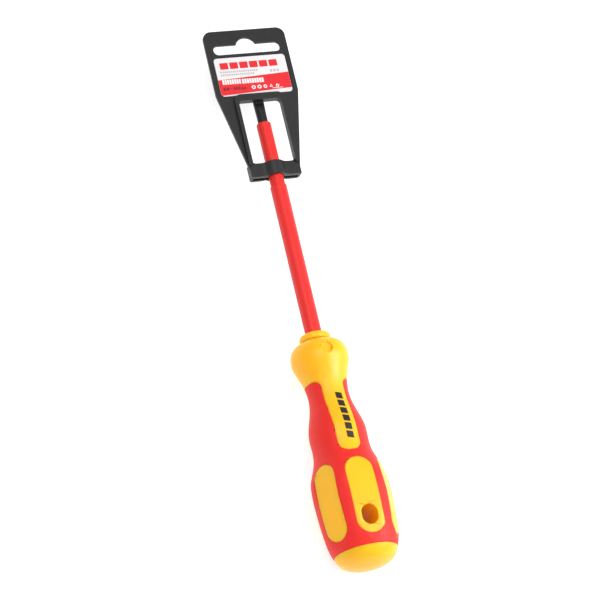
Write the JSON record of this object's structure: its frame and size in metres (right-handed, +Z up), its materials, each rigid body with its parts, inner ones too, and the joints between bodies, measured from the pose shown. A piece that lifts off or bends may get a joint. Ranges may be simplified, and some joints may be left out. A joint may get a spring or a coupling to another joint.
{
  "type": "insulated screwdriver",
  "caption": "Insulated slotted screwdriver with a two-material handle and a stepped plastic blade sleeve, held tip-down in a plastic shop hanger that slides off the blade.",
  "frame": {"origin": "middle of the blade's tip edge", "axes": "+Y along the blade, out of the tip; +Z up, square to the tip's flat, the hanger's panel and the front pad with the tether hole; +X to the right seen from the handle's rear end"},
  "size_m": [0.0408, 0.2699, 0.0338],
  "materials": {
    "black_oxide_steel": "black oxide, satin",
    "red_insulation": "satin moulded",
    "yellow_plastic": "semi-gloss moulded",
    "red_soft_grip": "matte soft touch",
    "black_hanger_plastic": "fine spark texture",
    "label_paper": "coated, semi-gloss"
  },
  "bodies": {
    "driver": {"blade": "black_oxide_steel", "inner_insulation": "red_insulation", "outer_insulation": "red_insulation", "handle_body": "yellow_plastic", "soft_grip": "red_soft_grip"},
    "hanger": {"hanger": "black_hanger_plastic", "hanger_label": "label_paper"}
  },
  "joints": [
    {"name": "hanger_slide", "type": "slide", "parent": "driver", "child": "hanger", "axis": [0, 1, 0], "range_m": [0, 0.05]}
  ]
}
